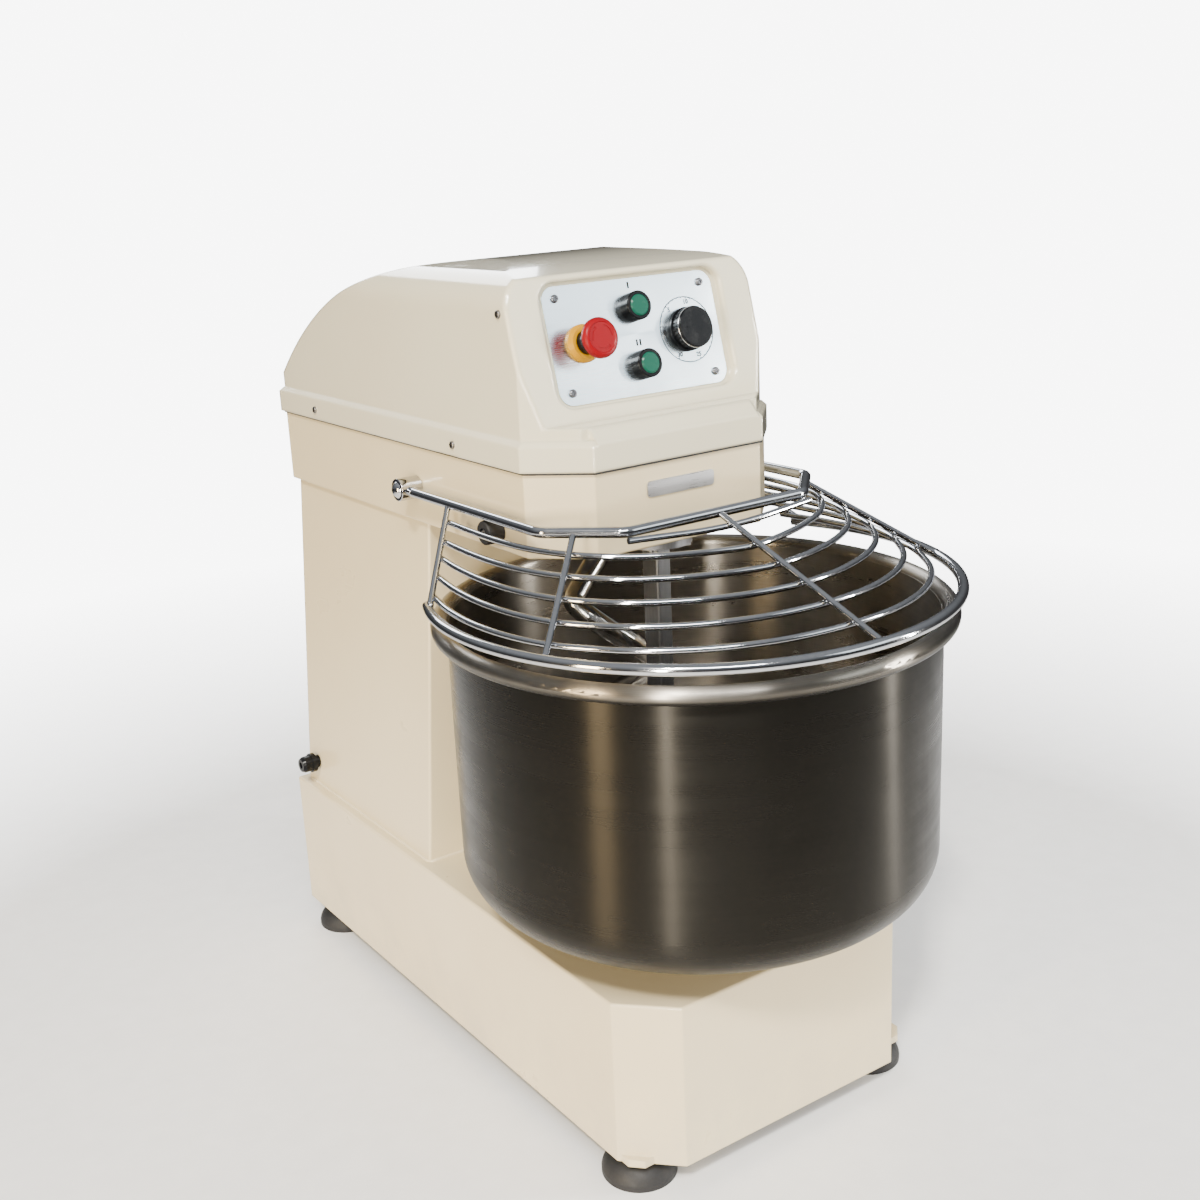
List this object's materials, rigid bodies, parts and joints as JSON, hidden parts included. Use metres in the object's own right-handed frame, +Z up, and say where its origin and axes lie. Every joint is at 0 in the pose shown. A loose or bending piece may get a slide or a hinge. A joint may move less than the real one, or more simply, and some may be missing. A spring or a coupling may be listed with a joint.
{
  "type": "spiral dough mixer",
  "caption": "Floor-standing bakery mixer with a turning bowl, a spiral hook beside a fixed breaker bar, a lifting wire guard and a tilted control panel on the head.",
  "frame": {"origin": "on the floor under the centre of the machine's bounding box", "axes": "+Z up, the bowl and the control panel face -Y, the machine is symmetric about X = 0"},
  "size_m": [0.543, 0.8914, 0.8882],
  "materials": {
    "cream_paint": "smooth gloss powder coat",
    "cream_cover": "gloss gel coat on moulded glass fibre",
    "brushed_stainless": "fine brushed stainless steel",
    "bright_steel": "bright plated",
    "machined_steel": "satin machined",
    "cast_iron": "as cast with turned faces",
    "motor_grey": "satin paint",
    "black_rubber": "matte",
    "black_plastic": "satin",
    "timer_steel": "turned",
    "green_plastic": "satin gloss",
    "yellow_plastic": "gloss",
    "red_plastic": "satin gloss",
    "blank_plate": "satin, no lettering"
  },
  "bodies": {
    "frame": {"base_frame": "cream_paint", "column_shell": "cream_paint", "column_rear_panel": "cream_paint", "head_housing": "cream_paint", "head_cover": "cream_cover", "control_plate": "brushed_stainless", "panel_screws": "bright_steel", "control_plate_screws": "bright_steel", "breaker_bar": "machined_steel", "foot_studs": "machined_steel", "foot_lock_nuts": "machined_steel", "hex_bolts": "machined_steel", "large_bearings": "machined_steel", "small_bearings": "machined_steel", "spiral_bearing_housing": "cast_iron", "countershaft_bearing_units": "cast_iron", "layshaft_bearing_housing": "cast_iron", "bowl_bearing_housing": "cast_iron", "motor_housing": "motor_grey", "foot_pads": "black_rubber", "guard_bumpers": "black_rubber", "motor_belt": "black_rubber", "spiral_belt": "black_rubber", "layshaft_belt": "black_rubber", "bowl_belt": "black_rubber", "cable_gland": "black_plastic", "button_bezels": "black_plastic", "timer_body": "black_plastic", "switch_contact_blocks": "black_plastic", "guard_limit_switch": "black_plastic", "contactors": "black_plastic", "estop_collar": "yellow_plastic", "nameplate": "blank_plate"},
    "guard": {"guard_top_rod": "bright_steel", "guard_ring": "bright_steel", "guard_arc_wires": "bright_steel", "guard_ribs": "bright_steel", "guard_hinge_sleeves": "bright_steel", "guard_hinge_pins": "bright_steel", "guard_cam": "machined_steel"},
    "bowl_unit": {"bowl": "brushed_stainless", "bowl_carrier": "cast_iron", "bowl_shaft": "machined_steel", "bowl_pulley": "cast_iron"},
    "spiral_unit": {"spiral_shaft": "machined_steel", "spiral_hook": "bright_steel", "spiral_pulley": "cast_iron"},
    "countershaft_unit": {"countershaft": "machined_steel", "countershaft_top_pulley": "cast_iron", "countershaft_bowl_pulley": "cast_iron"},
    "layshaft_unit": {"layshaft": "machined_steel", "layshaft_pulley": "cast_iron"},
    "motor_unit": {"motor_rotor": "machined_steel", "motor_pulley": "cast_iron"},
    "low_speed_cap": {"low_speed_button": "green_plastic"},
    "high_speed_cap": {"high_speed_button": "green_plastic"},
    "stop_plunger": {"estop_plunger": "black_plastic"},
    "stop_head": {"estop_head": "red_plastic"},
    "timer": {"timer_spindle": "timer_steel", "timer_knob": "black_plastic"}
  },
  "joints": [
    {"name": "guard_hinge", "type": "hinge", "parent": "frame", "child": "guard", "pos_m": [0, 0.10275, 0.65], "axis": [-1, 0, 0], "range_deg": [0, 40]},
    {"name": "spiral_spin", "type": "hinge", "parent": "frame", "child": "spiral_unit", "pos_m": [0, -0.01425, 0.3], "axis": [0, 0, 1], "continuous": true},
    {"name": "bowl_spin", "type": "hinge", "parent": "frame", "child": "bowl_unit", "pos_m": [0, -0.17425, 0.3], "axis": [0, 0, 1], "continuous": true},
    {"name": "countershaft_spin", "type": "hinge", "parent": "frame", "child": "countershaft_unit", "pos_m": [0, 0.16375, 0.3], "axis": [0, 0, 1], "continuous": true},
    {"name": "layshaft_spin", "type": "hinge", "parent": "frame", "child": "layshaft_unit", "pos_m": [0, 0.01575, 0.3], "axis": [0, 0, 1], "continuous": true},
    {"name": "motor_spin", "type": "hinge", "parent": "frame", "child": "motor_unit", "pos_m": [0, 0.32575, 0.3], "axis": [0, 0, 1], "continuous": true},
    {"name": "low_speed_press", "type": "slide", "parent": "frame", "child": "low_speed_cap", "axis": [0, 0.9659, -0.2588], "range_m": [0, 0.004], "stiffness_N_per_m": 600, "springref_m": -0.002},
    {"name": "high_speed_press", "type": "slide", "parent": "frame", "child": "high_speed_cap", "axis": [0, 0.9659, -0.2588], "range_m": [0, 0.004], "stiffness_N_per_m": 600, "springref_m": -0.002},
    {"name": "stop_push", "type": "slide", "parent": "frame", "child": "stop_plunger", "axis": [0, 0.9659, -0.2588], "range_m": [0, 0.0055]},
    {"name": "stop_twist", "type": "hinge", "parent": "stop_plunger", "child": "stop_head", "pos_m": [-0.067, -0.12773, 0.81707], "axis": [0, 0.9659, -0.2588], "range_deg": [0, 30], "stiffness_Nm_per_rad": 0.05},
    {"name": "timer_turn", "type": "hinge", "parent": "frame", "child": "timer", "pos_m": [0.063, -0.10841, 0.81189], "axis": [0, 0.9659, -0.2588], "range_deg": [0, 300]}
  ],
  "couplings": [
    {"joint": "countershaft_spin", "follows": "spiral_spin", "ratio": 2},
    {"joint": "motor_spin", "follows": "spiral_spin", "ratio": 6},
    {"joint": "layshaft_spin", "follows": "spiral_spin", "ratio": 0.63158},
    {"joint": "bowl_spin", "follows": "spiral_spin", "ratio": 0.12146}
  ]
}
